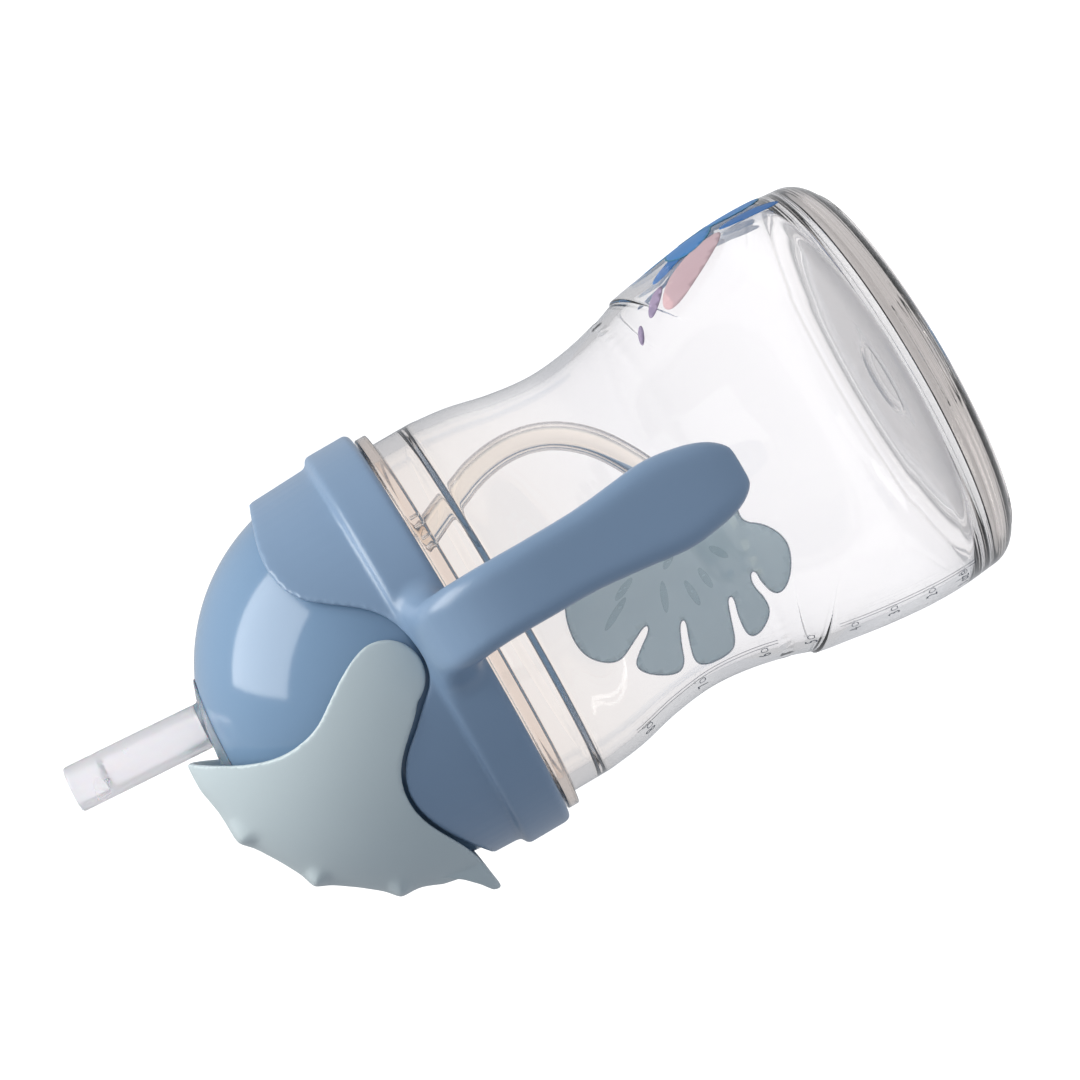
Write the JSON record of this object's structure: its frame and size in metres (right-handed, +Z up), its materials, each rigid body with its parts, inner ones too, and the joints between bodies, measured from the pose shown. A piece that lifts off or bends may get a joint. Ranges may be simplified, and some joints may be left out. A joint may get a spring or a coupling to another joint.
{
  "type": "baby bottle",
  "caption": "Clear waisted toddler drinking bottle with a screw lid, side handles, a flip cover over a soft spout, and a weighted straw inside.",
  "frame": {"origin": "on the bottle's axis, in the plane that the base stands on", "axes": "+Z up along the bottle's axis, handles on +X and -X, front towards -Y, flip cover standing open towards +Y"},
  "size_m": [0.115, 0.08, 0.16],
  "materials": {
    "bottle": "clear, polished",
    "collar": "satin dusty blue",
    "dome": "glossy blue",
    "cover": "satin grey-green",
    "silicone": "translucent, matt",
    "clear_fitting": "translucent, satin",
    "steel": "turned"
  },
  "bodies": {
    "bottle": {"bottle": "bottle"},
    "seal": {"seal_ring": "silicone"},
    "lid": {"collar": "collar", "dome": "dome", "vent_valve": "silicone", "spout": "silicone", "straw_connector": "clear_fitting", "straw_tube": "silicone", "weight_sleeve": "clear_fitting", "weight_core": "steel", "weight_nose": "clear_fitting"},
    "cover": {"flip_cover": "cover"}
  },
  "joints": [
    {"name": "lid_rise", "type": "slide", "parent": "bottle", "child": "seal", "axis": [0, 0, 1], "range_m": [0, 0.0075]},
    {"name": "lid_turn", "type": "hinge", "parent": "seal", "child": "lid", "pos_m": [0, 0, 0.0985], "axis": [0, 0, 1], "range_deg": [0, 540]},
    {"name": "cover_flip", "type": "hinge", "parent": "lid", "child": "cover", "pos_m": [0, 0.001, 0.1046], "axis": [1, 0, 0], "range_deg": [0, 72.5], "deforming": ["spout"]}
  ],
  "couplings": [
    {"joint": "lid_rise", "follows": "lid_turn", "m_per_rad": 0.00079577}
  ]
}
